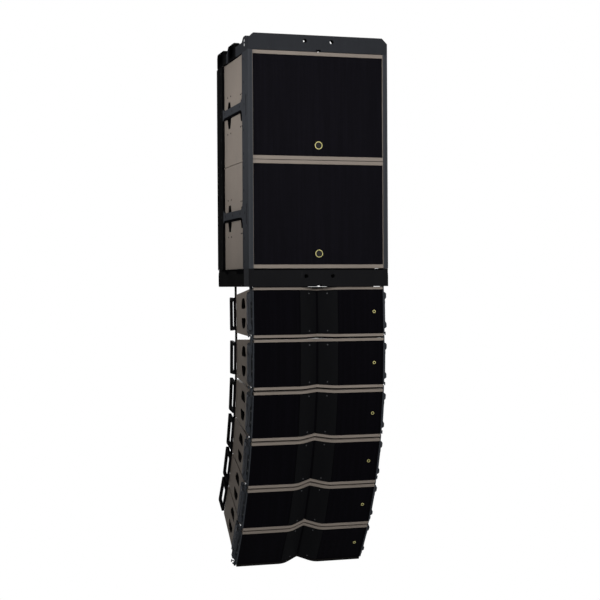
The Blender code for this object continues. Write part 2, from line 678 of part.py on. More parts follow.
def rear_link():
    """Two slotted straps on one rod; the rod's axis is the origin."""
    near, far = peg_distance(CLOSED_SPLAY) - 0.001, peg_distance(min(SPLAY)) + 0.001
    end = far + 0.010
    half = LINK_WIDTH / 2
    outline = arc(0, 0, half, 0, pi, 4) + arc(0, -end + 0.004, half, pi, 2 * pi, 4)
    window = slot(0, -(near + far) / 2, (far - near) / 2, PEG_RADIUS + PEG_CLEARANCE)
    link = cylinder("X", (0, 0, 0), LINK_ROD_RADIUS, 2 * ROD_TIP)
    for side in (-1, 1):
        reach = sorted((side * LINK_INSIDE, side * (LINK_INSIDE + LINK_THICKNESS)))
        join(link, plate("YZ", outline, reach, [window]))
    return taken(link)


# ---------------------------------------------------------------- assembly
def build_frames():
    top = datum("top_datum", (0, -PICKUP_SETBACK, 0))
    place("top_frame", top_frame(), "frame", top)
    place("pickup_bar", pickup_bar(), "frame", top)
    lower = datum("lower_datum", (0, -PICKUP_SETBACK, -FRAME_HEIGHT - 2 * SUB_HEIGHT))
    place("lower_frame", lower_frame(), "frame", lower)
    return lower


def build_subs():
    rig = sub_rig()
    meshes = {"cabinet": (sub_cabinet(), "cabinet"), "grille": (sub_grille(), "grille"),
              "rig_right": (rig, "rigging"), "rig_left": (mirrored(rig), "rigging"),
              "woofer": (sub_woofer(), "driver"), "cone": (sub_cone(), "cone"),
              "connector_plate": (connector_plate(), "panel")}
    for level in (1, 2):
        drop = -FRAME_HEIGHT - (level - 1) * SUB_HEIGHT
        carrier = datum(f"sub_{level}_datum", (0, -PICKUP_SETBACK, drop))
        for piece, (mesh, finish) in meshes.items():
            place(f"sub_{level}_{piece}", mesh, finish, carrier)


def build_modules(lower):
    rig = module_rigging()
    meshes = {"cabinet": (module_cabinet(), "cabinet"), "grille": (module_grille(), "grille"),
              "rigging_right": (rig, "rigging"), "rigging_left": (mirrored(rig), "rigging"),
              "rear_bracket": (rear_bracket(), "bracket"), "driver_set": (driver_set(), "driver")}
    strap = rear_link()
    carrier = lower
    pin = (0, PIVOT_Y, -LOWER_FRAME_DROP)
    for number, splay in enumerate(SPLAY, 1):
        rod = (pin[0], pin[1] + LINK_SETBACK, pin[2] + LINK_ARM)
        swing = datum(f"link_{number}_datum", rod, splay / 2, carrier)
        place(f"module_{number}_rear_link", strap, "bracket", swing)
        carrier = datum(f"module_{number}_datum", pin, splay, carrier)
        for piece, (mesh, finish) in meshes.items():
            place(f"module_{number}_{piece}", mesh, finish, carrier)
        pin = (0, 0, -MODULE_PITCH)


build_subs()
build_modules(build_frames())
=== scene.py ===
# %% [markdown]
# # A flown line array column
# Two subwoofers hang from a rigging frame, and six wedge-shaped modules curve away below them.
# The engineering model gives every case, rail and joint at its real size. This file gives them
# their finishes, and adds the fine pieces: grilles, waveguide fins, bolts, knobs and sockets.

# %% Load the frame
import json
from math import atan, atan2, cos, pi, radians, sin, sqrt, tan

import bmesh
import bpy
from mathutils import Matrix, Vector


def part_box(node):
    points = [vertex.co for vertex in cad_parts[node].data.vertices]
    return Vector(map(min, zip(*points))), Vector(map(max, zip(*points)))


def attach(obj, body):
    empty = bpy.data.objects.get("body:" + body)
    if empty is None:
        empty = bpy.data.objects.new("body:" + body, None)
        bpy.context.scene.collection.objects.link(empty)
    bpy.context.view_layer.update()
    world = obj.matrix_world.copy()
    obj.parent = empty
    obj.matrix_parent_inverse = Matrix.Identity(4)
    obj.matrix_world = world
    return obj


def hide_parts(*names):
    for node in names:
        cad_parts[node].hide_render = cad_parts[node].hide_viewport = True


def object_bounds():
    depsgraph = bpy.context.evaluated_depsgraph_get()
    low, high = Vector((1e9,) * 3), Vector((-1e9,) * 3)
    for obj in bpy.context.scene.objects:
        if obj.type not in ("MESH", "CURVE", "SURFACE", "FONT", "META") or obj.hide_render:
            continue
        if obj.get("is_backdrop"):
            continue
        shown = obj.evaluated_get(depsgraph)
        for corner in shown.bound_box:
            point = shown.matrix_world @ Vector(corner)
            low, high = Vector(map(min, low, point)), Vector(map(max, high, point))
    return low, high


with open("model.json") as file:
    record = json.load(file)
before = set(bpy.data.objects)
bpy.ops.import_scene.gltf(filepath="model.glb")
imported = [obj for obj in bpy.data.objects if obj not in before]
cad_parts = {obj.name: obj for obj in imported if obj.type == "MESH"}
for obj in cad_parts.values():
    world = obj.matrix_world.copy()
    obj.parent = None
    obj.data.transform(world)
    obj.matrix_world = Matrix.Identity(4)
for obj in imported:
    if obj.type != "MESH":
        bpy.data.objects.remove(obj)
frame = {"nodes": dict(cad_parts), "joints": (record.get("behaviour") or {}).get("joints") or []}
cad_box = [list(corner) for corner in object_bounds()]
nodes = frame["nodes"]
hinges = {joint["name"]: Vector(joint["pos_m"]) for joint in frame["joints"] if "pos_m" in joint}
MODULES = range(1, 7)
SUBS = (1, 2)
print("frame with", len(nodes), "nodes and", len(hinges), "hinges")

# %% [markdown]
# Shader maths reads best as plain expressions. A small wrapper around a node socket lets
# `1 - mask * 0.5` add its own Math nodes, and one function makes any other node: its settings go
# in first, because some of them change which sockets it has.


# %% A socket that takes part in arithmetic
class Value:
    """One output of a node, in a tree."""

    def __init__(self, tree, socket):
        self.tree = tree
        self.socket = socket

    def maths(self, operation, first, second=0.0):
        node = self.tree.nodes.new("ShaderNodeMath")
        node.operation = operation
        for slot, given in zip(node.inputs, (first, second)):
            feed(self.tree, slot, given)
        return Value(self.tree, node.outputs[0])

    def apply(self, operation, second=0.0):
        return self.maths(operation, self, second)

    def __add__(self, other):
        return self.apply("ADD", other)

    def __sub__(self, other):
        return self.apply("SUBTRACT", other)

    def __rsub__(self, other):
        return self.maths("SUBTRACT", other, self)

    def __mul__(self, other):
        return self.apply("MULTIPLY", other)

    def __gt__(self, other):
        return self.apply("GREATER_THAN", other)

    __radd__ = __add__
    __rmul__ = __mul__


def feed(tree, slot, given):
    """Link a Value to a socket, or set the socket's own constant."""
    if isinstance(given, Value):
        tree.links.new(given.socket, slot)
    else:
        slot.default_value = given


def add_node(tree, kind, settings=None, inputs=None, output=0):
    """Any other node: its settings go in first, then its sockets."""
    made = tree.nodes.new(kind)
    for key, setting in (settings or {}).items():
        setattr(made, key, setting)
    for key, given in (inputs or {}).items():
        feed(tree, made.inputs[key], given)
    return Value(tree, made.outputs[output])


# %% [markdown]
# A finish starts as a plain shader with its constants. Methods then add what varies: masks from
# coordinates, noise, mixed colours and bump.

# %% A finish under construction
class Finish:
    """A material whose nodes are added one method call at a time."""

    def __init__(self, name, colour, roughness, metallic=0.0, specular=0.5):
        self.material = bpy.data.materials.new(name)
        self.material.use_nodes = True
        self.tree = self.material.node_tree
        self.shader = self.tree.nodes["Principled BSDF"]
        self.shader.inputs["Base Color"].default_value = (*colour, 1.0)
        self.shader.inputs["Roughness"].default_value = roughness
        self.shader.inputs["Metallic"].default_value = metallic
        self.shader.inputs["Specular IOR Level"].default_value = specular
        self.place = self.node("ShaderNodeTexCoord", output="Object")

    def node(self, kind, settings=None, inputs=None, output=0):
        return add_node(self.tree, kind, settings, inputs, output)

    def axes(self, to_local=None):
        """The three coordinates, in the model's frame or in the frame of a tilted module."""
        spot = self.place
        if to_local:
            spot = self.node("ShaderNodeMapping", None, {
                "Vector": spot, "Location": to_local.to_translation(),
                "Rotation": to_local.to_euler()})
        split = self.node("ShaderNodeSeparateXYZ", None, {"Vector": spot})
        return [Value(self.tree, socket) for socket in split.socket.node.outputs]

    def inside(self, low, high, to_local=None):
        """A mask that is 1 inside a box and in its mirror image across the middle."""
        x, y, z = self.axes(to_local)
        mask = 1.0
        for value, least, most in zip((x.apply("ABSOLUTE"), y, z), low, high):
            mask = mask * (value > least) * (1 - (value > most))
        return mask

    def noise(self, scale, detail, stretch=(1, 1, 1)):
        spot = self.node("ShaderNodeMapping", None, {"Vector": self.place, "Scale": stretch})
        return self.node("ShaderNodeTexNoise", None, {
            "Vector": spot, "Scale": scale, "Detail": detail, "Roughness": 0.55})

    def ramp(self, value, low, high):
        """0 below low, 1 above high, smooth between."""
        return self.node("ShaderNodeMapRange", {"interpolation_type": "SMOOTHSTEP"}, {
            "Value": value, "From Min": low, "From Max": high})

    def tint(self, mask, first, second):
        """One colour where the mask is 0 and another where it is 1."""
        first, second = (given if isinstance(given, Value) else (*given, 1.0)
                         for given in (first, second))
        return self.node("ShaderNodeMix", {"data_type": "RGBA"},
                         {0: mask, 6: first, 7: second}, 2)

    def set(self, **inputs):
        names = {"colour": "Base Color", "roughness": "Roughness", "metallic": "Metallic"}
        for key, given in inputs.items():
            feed(self.tree, self.shader.inputs[names[key]], given)

    def bump(self, height, depth, strength):
        normal = self.node("ShaderNodeBump", None, {
            "Height": height, "Distance": depth, "Strength": strength})
        feed(self.tree, self.shader.inputs["Normal"], normal)


# %% [markdown]
# The cases wear a warm grey texture paint, rolled on thick so that it dries into a fine grain. A
# small noise gives the grain, a large one the uneven sheen, and a few stretched specks of lighter
# paint stand for scuffs from handling.


# %% Texture paint on plywood
CASE_GREY = (0.200, 0.172, 0.148)
# Near-black painted shade for the inside of recesses, where little light reaches.
HOLLOW_PAINTED_SHADE = (0.0035, 0.0032, 0.0030)


def texture_paint(name, colour, painted_shade_boxes):
    """The paint, with near-black painted shade in the given boxes, where a grip or pocket goes
    into the case.
    """
    finish = Finish(name, colour, 0.62, specular=0.04)
    grain = finish.noise(620, 2.0)
    cloud = finish.noise(5.0, 4.0)
    scuff = finish.ramp(finish.noise(34, 5.0, (1, 1, 0.35)), 0.70, 0.76)
    dust = finish.ramp(cloud, 0.35, 0.75)
    dark = tuple(part * 0.86 for part in colour)
    pale = tuple(part * 1.10 for part in colour)
    worn = tuple(min(1.0, part * 1.45 + 0.01) for part in colour)
    body = finish.tint(finish.ramp(grain, 0.35, 0.65) * 0.45 + dust * 0.45, dark, pale)
    body = finish.tint(scuff * 0.30, body, worn)
    # Painted shade: near-black inside each given box.
    for low, high, to_local in painted_shade_boxes:
        body = finish.tint(finish.inside(low, high, to_local), body, HOLLOW_PAINTED_SHADE)
    finish.set(colour=body, roughness=0.58 + 0.14 * cloud + 0.05 * grain)
    finish.bump(grain, 0.00045, 0.55)
    return finish.material

# %% [markdown]
# Rails, frames and brackets are powder-coated steel and aluminium. Powder melts into a skin with
# a soft orange peel, and rubs bright where pins and neighbours touch it. One recipe serves all
# three. It takes the colour, and boxes of painted shade and painted light, where the coat is
# painted darker or lighter for how light falls on those parts.


# %% Powder coat
POWDER_ROUGHNESS = 0.56


def powder_coat(name, colour, wear=0.25, painted_light_and_shade=(), specular=0.0010):
    """The coat, with painted shade and painted light: other colours inside the listed boxes."""
    finish = Finish(name, colour, POWDER_ROUGHNESS, 0.0, specular)
    peel = finish.noise(260, 2.0)
    cloud = finish.noise(9.0, 4.0)
    rub = finish.ramp(finish.noise(46, 6.0, (1, 1, 0.4)), 0.66, 0.74) * wear
    streak = finish.noise(30, 3.0, (1, 1, 0.06))
    shade = cloud * 0.6 + streak * 0.4
    body = finish.tint(shade, tuple(part * 0.78 for part in colour),
                       tuple(part * 1.22 for part in colour))
    # Painted shade and painted light: another colour inside each box.
    for low, high, other in painted_light_and_shade:
        body = finish.tint(finish.inside(low, high), body, other)
    bare = tuple(part * 2.2 + 0.012 for part in colour)
    finish.set(colour=finish.tint(rub, body, bare))
    finish.set(roughness=POWDER_ROUGHNESS - 0.07 + 0.16 * cloud - rub * 0.10)
    finish.set(metallic=rub * 0.35)
    finish.bump(peel, 0.0003, 0.35)
    return finish.material


FACE_PLANE = cad_box[0][1]
FAR, SIDE_BEAM = 9.0, 0.33
# PAINTED_SHADE_BLACK is near-black painted shade. PAINTED_LIGHT_SLATE and PAINTED_LIGHT_GREY are
# painted light: lighter tones where light falls.
BLACK, PAINTED_SHADE_BLACK = (0.0048, 0.0048, 0.0052), (0.0015, 0.0015, 0.0016)
SLATE, PAINTED_LIGHT_SLATE = (0.0330, 0.0352, 0.0400), (0.0360, 0.0385, 0.0435)
STEEL_GREY, PAINTED_LIGHT_GREY = (0.0215, 0.0228, 0.0260), (0.030, 0.031, 0.034)


def reach(start, end, inner=0.0):
    """A box from one depth behind the face plane to another, full width unless inner is given."""
    return (inner, FACE_PLANE + start, -FAR), (FAR, FACE_PLANE + end, FAR)


# Rails: painted light on the front strip, near-black painted shade on the rear rail.
rail_coat = powder_coat("rail_slate_coat", SLATE, painted_light_and_shade=(
    (*reach(-1, 0.0125), PAINTED_LIGHT_SLATE), (*reach(0.560, 2), PAINTED_SHADE_BLACK)))
plate_coat = powder_coat("side_plate_coat", (0.030, 0.033, 0.038), wear=0.30, specular=0.008)
# The channel's coat is painted much lighter than the plate: a painted highlight along it.
highlight_channel_coat = powder_coat("side_channel_painted_highlight_coat", (0.110, 0.115, 0.128), wear=0.30,
                           specular=0.04)
# Top frame: near-black painted shade on the side beam, from the middle lug back.
frame_coat = powder_coat("frame_charcoal_coat", STEEL_GREY, painted_light_and_shade=(
    (*reach(0.262, 0.430, SIDE_BEAM), PAINTED_SHADE_BLACK), (*reach(0.475, 2, SIDE_BEAM), PAINTED_SHADE_BLACK)))
# Transition frame: near-black painted shade on the side beam behind the front, and painted light
# on the front corner block.
lower_coat = powder_coat("lower_frame_coat", (0.0080, 0.0080, 0.0088), wear=0.12, painted_light_and_shade=(
    (*reach(0.110, 2, SIDE_BEAM), PAINTED_SHADE_BLACK), (*reach(0.012, 0.110, SIDE_BEAM), PAINTED_LIGHT_GREY)))
bracket_coat = powder_coat("bracket_black_coat", BLACK)
print("made six powder coats")

# %% [markdown]
# A grille is perforated steel with acoustic cloth behind it. The holes are 3 mm apart, far too
# many to model, so a honeycomb of them is drawn in height and colour: two square lattices, one
# shifted by half a cell, meet as a staggered pattern. Cloth behind the holes shows as faint
# upright threads.


# %% Perforated grille
ROW_STEP = 1.732
LINT = (0.030, 0.028, 0.034)


def perforated(name, steel, cloth, pitch):
    finish = Finish(name, steel, 0.74, 0.0, 0.012)
    along, _, rise = finish.axes()

    def lattice(shift):
        across = along * (2 * pi / pitch) + shift
        upward = rise * (2 * pi / (pitch * ROW_STEP)) + shift
        return across.apply("SINE") * upward.apply("SINE")

    holes = lattice(0.0).apply("MAXIMUM", lattice(pi / 2))
    inside = finish.ramp(holes, 0.25, 0.60)
    thread = finish.ramp(finish.noise(420, 2.0, (1, 0.4, 0.015)), 0.42, 0.62)
    cloud = finish.noise(6.0, 3.0, (1, 1, 0.25))
    fold = finish.ramp(finish.noise(75, 2.0, (1, 0.3, 0.02)), 0.40, 0.66)
    lint = finish.ramp(finish.noise(240, 2.0), 0.74, 0.78)
    weave = finish.tint(thread * 0.40 + fold * 0.55, tuple(part * 0.45 for part in cloth), cloth)
    body = finish.tint(inside, steel, weave)
    finish.set(colour=finish.tint(lint * 0.08 + cloud * 0.03, body, LINT))
    finish.set(roughness=0.62 + inside * 0.25 + cloud * 0.08)
    finish.bump(1 - inside, 0.0006, 0.45)
    return finish.material


grille_black = perforated("grille_perforated_black",
                          (0.0030, 0.0029, 0.0037), (0.0065, 0.0058, 0.0092), 0.0032)
grille_deep = perforated("grille_perforated_deep",
                         (0.0013, 0.0012, 0.0017), (0.0032, 0.0028, 0.0046), 0.0026)
print("made", grille_black.name, "and", grille_deep.name)

# %% [markdown]
# Fins, knobs and sockets are moulded plastic with a fine spark-eroded grain. Bolts and pins are
# zinc-plated, blackened or phosphated steel, and the badge rings are pale brass. They differ in
# colour, sheen and how much they are scratched.


# %% Plastics and bright metals
def moulded(name, colour, roughness, specular):
    finish = Finish(name, colour, roughness, 0.0, specular)
    grain = finish.noise(900, 2.0)
    cloud = finish.noise(12.0, 3.0)
    lit = tuple(part * 1.25 for part in colour)
    dim = tuple(part * 0.82 for part in colour)
    finish.set(colour=finish.tint(cloud * 0.7 + grain * 0.3, dim, lit))
    finish.set(roughness=roughness - 0.05 + 0.12 * cloud)
    finish.bump(grain, 0.0002, 0.30)
    return finish.material


def plated(name, colour, roughness, metallic=1.0, specular=0.5):
    finish = Finish(name, colour, roughness, metallic, specular)
    scratch = finish.ramp(finish.noise(380, 4.0, (1, 0.12, 0.12)), 0.55, 0.72)
    stain = finish.noise(60, 3.0)
    dull = tuple(part * 0.62 for part in colour)
    finish.set(colour=finish.tint(stain * 0.6, colour, dull))
    finish.set(roughness=roughness + 0.18 * scratch + 0.08 * stain)
    finish.bump(scratch, 0.0001, 0.25)
    return finish.material


fin_satin = moulded("fin_satin_grey", (0.0046, 0.0047, 0.0053), 0.56, 0.006)
knob_black = moulded("knob_black", (0.0042, 0.0042, 0.0046), 0.45, 0.10)
foam_black = moulded("foam_black", (0.0028, 0.0028, 0.0032), 0.92, 0.0)
cone_black = moulded("cone_paper_black", (0.008, 0.008, 0.008), 0.80, 0.15)
bolt_dark = plated("bolt_blackened", (0.034, 0.035, 0.038), 0.45, 0.35)
bolt_black = plated("bolt_phosphated", (0.0090, 0.0092, 0.0100), 0.62, 0.0, 0.010)
pin_zinc = plated("pin_zinc", (0.46, 0.46, 0.47), 0.32)
badge_brass = plated("badge_pale_brass", (0.46, 0.42, 0.16), 0.42, 0.35)
print("made plastics and metals")

# %% [markdown]
# Every module is the same, only hung at its own angle. So each detail is modelled once, in a
# module's own frame with its origin on the front pin, and set down six times. A module's tilt is
# the direction from its own pin to the next one; the last keeps the step of the one above it.

# %% Where each module hangs
tilts = {}
for number in MODULES[:-1]:
    run = hinges[f"splay_{number + 1}"] - hinges[f"splay_{number}"]
    tilts[number] = atan2(run.y, -run.z)
tilts[6] = 2 * tilts[5] - tilts[4]
MODULE_PLACE = {n: Matrix.Translation(hinges[f"splay_{n}"]) @ Matrix.Rotation(tilts[n], 4, "X")
                for n in MODULES}
SUB_PLACE = {}
for number in SUBS:
    low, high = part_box(f"sub_{number}_rig_right")
    SUB_PLACE[number] = Matrix.Translation((0, low[1], high[2]))
print("tilts in degrees:", [round(tilts[n] * 180 / pi, 1) for n in MODULES])


# %% [markdown]
# The structural pieces already have their real shape, so they keep it and only take a finish.
# Their names say what they are, so a short table of name endings is enough. The boxes are where
# painted shade darkens the paint: inside grips and hand pockets, and along the lowest edge of the
# last module.

# %% Dress the structural pieces
FINISH_BY_ENDING = {
    "rig_left": rail_coat, "rig_right": rail_coat,
    "rigging_left": plate_coat, "rigging_right": plate_coat, "rear_bracket": bracket_coat,
    "rear_link": bracket_coat, "driver_set": knob_black, "woofer": knob_black,
    "cone": cone_black, "connector_plate": knob_black, "grille": grille_black,
    "top_frame": frame_coat, "pickup_bar": frame_coat, "lower_frame": lower_coat,
}
# Boxes of painted shade: the grip, the hand pockets and the lowest edge of the last module, where
# shade falls.
GRIP = (0.290, 0.120, -0.225), (0.3394, 0.262, -0.035)
POCKETS = (0.200, 0.120, -0.360), (0.3542, 0.560, -0.190)
LOWEST_EDGE_SHADE = (-1.0, -0.040, -0.262), (0.345, 0.050, -0.2372)
for number in MODULES:
    to_local = MODULE_PLACE[number].inverted()
    painted_shade_boxes = [(*GRIP, to_local)] + ([(*LOWEST_EDGE_SHADE, to_local)] if number == 6 else [])
    FINISH_BY_ENDING[f"module_{number}_cabinet"] = texture_paint(
        f"case_paint_module_{number}", CASE_GREY, painted_shade_boxes)
for number in SUBS:
    low, high = (SUB_PLACE[number] @ Vector(corner) for corner in POCKETS)
    FINISH_BY_ENDING[f"sub_{number}_cabinet"] = texture_paint(
        f"case_paint_sub_{number}", CASE_GREY, [(low, high, None)])
for name, piece in nodes.items():
    ending = next(end for end in FINISH_BY_ENDING if name.endswith(end))
    piece.data.materials.clear()
    piece.data.materials.append(FINISH_BY_ENDING[ending])
print("dressed", len(nodes), "nodes")

# %% [markdown]
# Every added piece is built as a bmesh, given its finish, set in place and tied to a body.

# %% Small makers of shape
def finished(name, shape, finish, bevel=0.0):
    """A mesh object from a bmesh, shaded smooth where it is round."""
    mesh = bpy.data.meshes.new(name)
    bmesh.ops.recalc_face_normals(shape, faces=shape.faces)
    shape.to_mesh(mesh)
    shape.free()
    mesh.shade_smooth()
    mesh.set_sharp_from_angle(angle=radians(35))
    mesh.materials.append(finish)
    piece = bpy.data.objects.new(name, mesh)
    bpy.context.scene.collection.objects.link(piece)
    if bevel:
        rounding = piece.modifiers.new("edges", "BEVEL")
        rounding.width = bevel
        rounding.segments = 2
        rounding.limit_method = "ANGLE"
        rounding.angle_limit = radians(40)
    return piece


def hang(piece, matrix, body):
    """Set a piece in place and let it move with its body."""
    piece.matrix_world = matrix
    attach(piece, body)


def copies(source, name, matrix, body):
    """Another object on the same mesh, with the same modifiers."""
    twin = source.copy()
    twin.name = name
    bpy.context.scene.collection.objects.link(twin)
    hang(twin, matrix, body)


def on_modules(maker, label):
    """Model a detail once and hang one on each module."""
    source = maker()
    for number in MODULES:
        name = f"module_{number}_{label}"
        copies(source, name, MODULE_PLACE[number], f"module_{number}")
    bpy.data.objects.remove(source)
    print("six of", label)


def on_subs(maker, label):
    """Model a detail once and set one on each subwoofer."""
    source = maker()
    for number in SUBS:
        copies(source, f"sub_{number}_{label}", SUB_PLACE[number], "flown_frame")
    bpy.data.objects.remove(source)
    print("two of", label)


# %% [markdown]
# The front of a module is flat at both sides and folds into a shallow vee in the middle. Seen
# from above it is a flat run, a round shoulder, a straight wall and a small round crease, and one
# function gives its depth at any distance from the middle. Two more give the top and bottom of
# the recess behind the bands.

# %% The front in plan
FRONT = -0.030
HALF_WIDTH = 0.340
GAP = 0.0003
VEE_DEPTH, VEE_CORNER, VEE_SHOULDER = 0.044, 0.082, 0.110
WALL_SLOPE = VEE_DEPTH / VEE_CORNER
SHOULDER_RUN = VEE_SHOULDER * tan(atan(WALL_SLOPE) / 2)
SHOULDER_START = VEE_CORNER + SHOULDER_RUN
SHOULDER_END = VEE_CORNER - SHOULDER_RUN * cos(atan(WALL_SLOPE))
CREASE = 0.006


def vee(x):
    x = abs(x)
    if x >= SHOULDER_START:
        return 0.0
    if x > SHOULDER_END:
        return VEE_SHOULDER - sqrt(VEE_SHOULDER ** 2 - (SHOULDER_START - x) ** 2)
    if x > CREASE:
        return VEE_DEPTH - WALL_SLOPE * x
    return VEE_DEPTH - WALL_SLOPE * (CREASE + x * x / CREASE) / 2


PITCH, HALF_ANGLE, MODULE_GAP, BAND = 0.259, radians(4.11), 0.0114, 0.013
RECESS_CLEARANCE = 0.0006


def top_edge(y):
    """Height of the recess under the module's top band, at a depth."""
    return -MODULE_GAP / 2 / cos(HALF_ANGLE) - y * tan(HALF_ANGLE) - BAND - RECESS_CLEARANCE


def bottom_edge(y):
    """The same for the bottom band, which mirrors the top one."""
    return -PITCH - top_edge(y)


print("shoulder from", round(SHOULDER_END, 4), "to", round(SHOULDER_START, 4))


# %% [markdown]
# A panel is a sheet of small quads that follows the vee, with its rim closed all round.

# %% Curved panels
ROWS = 4


def panel(name, start, end, offset, thickness, finish, columns=24, margin=0.0, bevel=0.0008):
    """A sheet that follows the front between two distances from the middle."""
    shape = bmesh.new()
    rows = []
    for i in range(columns + 1):
        x = start + (end - start) * i / columns
        y = FRONT + vee(x) + offset
        high, low = top_edge(y) - margin, bottom_edge(y) + margin
        column = []
        for j in range(ROWS + 1):
            z = low + (high - low) * j / ROWS
            column.append((shape.verts.new((x, y, z)), shape.verts.new((x, y + thickness, z))))
        rows.append(column)
    for a, b in zip(rows, rows[1:]):
        for j in range(ROWS):
            shape.faces.new((a[j][0], b[j][0], b[j + 1][0], a[j + 1][0]))
            shape.faces.new((a[j][1], a[j + 1][1], b[j + 1][1], b[j][1]))
        for j in (0, ROWS):
            shape.faces.new((a[j][0], a[j][1], b[j][1], b[j][0]))
    for column in (rows[0], rows[-1]):
        for j in range(ROWS):
            shape.faces.new((column[j][0], column[j + 1][0], column[j + 1][1], column[j][1]))
    return finished(name, shape, finish, bevel)


# %% [markdown]
# Each half of the front is one perforated panel with a folded rim, clamped in the recess between
# the case's top and bottom edges. Foam fills the space behind it, so that nothing shows through
# the seams.

# %% Module grilles
FIN_EDGE, GRILLE_SETBACK = 0.0985, 0.0035
for side, label in ((-1, "left"), (1, "right")):
    on_modules(lambda: panel("grille", side * (FIN_EDGE + 0.0015), side * (HALF_WIDTH - GAP),
                             GRILLE_SETBACK, 0.0022, grille_deep), f"grille_{label}")
on_modules(lambda: panel("foam", -HALF_WIDTH + 0.002, HALF_WIDTH - 0.002, 0.0068, 0.0008,
                         foam_black, 60, 0.001, 0.0), "grille_foam")
for number in MODULES:
    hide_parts(f"module_{number}_grille")

# %% [markdown]
# Between the panels sit two satin fins that steer the high notes. They follow the vee's walls,
# stand a hair proud of the grille, and meet the tweeter's slot in the crease. Four small screws
# hold them, two to a fin.


# %% Waveguide fins
for side, label in ((-1, "left"), (1, "right")):
    on_modules(lambda: panel("fin", side * 0.0055, side * FIN_EDGE, 0.0018, 0.0036, fin_satin, 28,
                             0.0012, 0.0010), f"fin_{label}")
on_modules(lambda: panel("slot", -0.0050, 0.0050, 0.0048, 0.0015, grille_deep, 6, 0.004),
           "tweeter_slot")


# %% [markdown]
# Bolts repeat by the dozen. A bolt's head is a turned profile with a socket in it, and all the
# bolts of one body are copies of that profile inside a single mesh, which keeps the list of
# pieces short.

# %% Bolts
def head_profile(radius, height):
    return [(0, height * 0.35), (radius * 0.42, height * 0.35), (radius * 0.48, height),
            (radius * 0.80, height), (radius, height * 0.55), (radius, -height * 0.4)]


def spin(shape, profile, matrix, sides=14):
    """Turn a profile about Z and put it where a matrix says."""
    rings = []
    for radius, height in profile:
        if radius == 0:
            rings.append([shape.verts.new(matrix @ Vector((0, 0, height)))])
            continue
        rings.append([shape.verts.new(matrix @ Vector((
            radius * cos(2 * pi * i / sides), radius * sin(2 * pi * i / sides), height)))
            for i in range(sides)])
    for a, b in zip(rings, rings[1:]):
        for i in range(sides):
            k = (i + 1) % sides
            corners = [a[i % len(a)], a[k % len(a)], b[k % len(b)], b[i % len(b)]]
            unique = list(dict.fromkeys(corners))
            if len(unique) > 2:
                shape.faces.new(unique)
    if len(rings[-1]) > 1:
        shape.faces.new(rings[-1])
    if len(rings[0]) > 1:
        shape.faces.new(rings[0][::-1])


FACING = {"front": Matrix.Rotation(pi / 2, 4, "X"), "back": Matrix.Rotation(-pi / 2, 4, "X"),
          "right": Matrix.Rotation(pi / 2, 4, "Y"), "left": Matrix.Rotation(-pi / 2, 4, "Y")}


def turned_set(name, profile, places, finish, sides=14):
    """Copies of one turned profile, each at a point and facing a way."""
    shape = bmesh.new()
    for point, facing in places:
        spin(shape, profile, Matrix.Translation(point) @ FACING[facing], sides)
    return finished(name, shape, finish)


def both_sides(points, x):
    """The same (y, z) points on the right and left faces at a distance from the middle."""
    return ([((x, y, z), "right") for y, z in points] + [((-x, y, z), "left") for y, z in points])


FIN_SCREW_X, FIN_SCREW_Z = 0.048, (-0.035, -0.224)
fin_screws = [((x, FRONT + vee(x) + 0.0018, z), "front")
              for x in (-FIN_SCREW_X, FIN_SCREW_X) for z in FIN_SCREW_Z]
on_modules(lambda: turned_set("screws", head_profile(0.0036, 0.0016), fin_screws, bolt_dark),
           "fin_screws")

# %% [markdown]
# Where a maker would put a badge, there is a small plain disc: a dark field in a pale brass ring,
# with nothing on it. It keeps the one bright spot of the front.

# %% Plain badge discs
RING_WIDTH, RING_RISE = 0.0032, 0.0014
MODULE_BADGE = (0.292, FRONT + 0.0034, -PITCH / 2), 0.0082
SUB_BADGE = (0.0, 0.0073, -0.468), 0.0195


def badge_ring(centre, radius):
    inner = radius - RING_WIDTH
    profile = [(inner, 0.0), (inner, RING_RISE), (radius - 0.0004, RING_RISE),
               (radius, RING_RISE - 0.0004), (radius, -0.0004)]
    return turned_set("badge_ring", profile, [(centre, "front")], badge_brass, 32)


def badge_field(centre, radius):
    inner, rise = radius - RING_WIDTH, RING_RISE * 0.6
    profile = [(0, rise), (inner, rise), (inner, 0.0002)]
    return turned_set("badge_field", profile, [(centre, "front")], knob_black, 32)


on_modules(lambda: badge_ring(*MODULE_BADGE), "badge_ring")
on_modules(lambda: badge_field(*MODULE_BADGE), "badge_field")
on_subs(lambda: badge_ring(*SUB_BADGE), "badge_ring")
on_subs(lambda: badge_field(*SUB_BADGE), "badge_field")


# %% [markdown]
# Straight pieces are made of blocks, each given by its two ends on every axis.

# %% Blocks
def beam(shape, x, y, z):
    """A block between two values on each axis."""
    middle = [(a + b) / 2 for a, b in (x, y, z)]
    size = [abs(b - a) for a, b in (x, y, z)]
    bmesh.ops.create_cube(shape, size=1.0, matrix=Matrix.Translation(middle)
                          @ Matrix.Diagonal((*size, 1.0)))


# %% [markdown]
# A module's side plate carries the column's weight. Round-headed bolts fix it to the case, two
# black knobs cap the carrying link, and a channel runs down its middle, its coat painted much
# lighter than the plate as a painted highlight. A zinc collar rings the lock pin at the foot.

